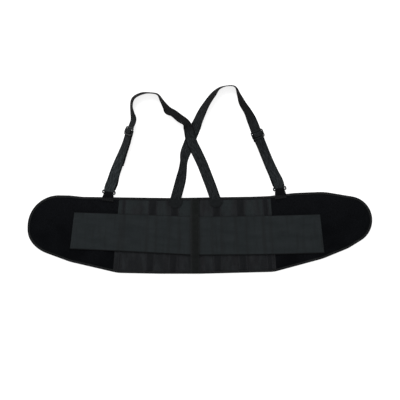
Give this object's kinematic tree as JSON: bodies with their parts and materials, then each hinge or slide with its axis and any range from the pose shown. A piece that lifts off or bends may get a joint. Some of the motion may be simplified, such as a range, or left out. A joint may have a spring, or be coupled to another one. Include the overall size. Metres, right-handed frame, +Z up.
{
  "type": "back support belt with shoulder straps",
  "caption": "Wide elastic work back support belt with round closure ends, sewn stay channels, an outer elastic band and crossed adjustable shoulder straps, lying open and flat.",
  "frame": {"origin": "middle of the whole box on the surface the belt lies on", "axes": "+X along the belt towards its right end in the picture, +Y from the belt to the shoulder loops, +Z up, out of the belt's outer face"},
  "size_m": [1.027, 0.5598, 0.0347],
  "materials": {
    "mesh elastic": "open knitted mesh",
    "loop pile": "brushed loop pile",
    "stay channel cloth": "plain woven",
    "binding tape": "woven tape",
    "band elastic": "ribbed elastic",
    "strap webbing": "woven webbing",
    "moulded plastic": "smooth, lightly glossy"
  },
  "bodies": {
    "root": {"back_panel": "mesh elastic", "left_end_panel": "loop pile", "right_end_panel": "loop pile", "edge_binding": "binding tape", "stay_outer_left": "stay channel cloth", "stay_left": "stay channel cloth", "stay_mid_left": "stay channel cloth", "stay_mid_right": "stay channel cloth", "stay_right": "stay channel cloth", "stay_outer_right": "stay channel cloth", "outer_band": "band elastic", "centre_strip": "binding tape", "left_strap_patch": "binding tape", "right_strap_patch": "binding tape", "left_shoulder_strap": "strap webbing", "right_shoulder_strap": "strap webbing", "left_slider": "moulded plastic", "right_slider": "moulded plastic", "left_ring": "moulded plastic", "right_ring": "moulded plastic", "left_ring_tab": "binding tape", "right_ring_tab": "binding tape"}
  },
  "joints": []
}
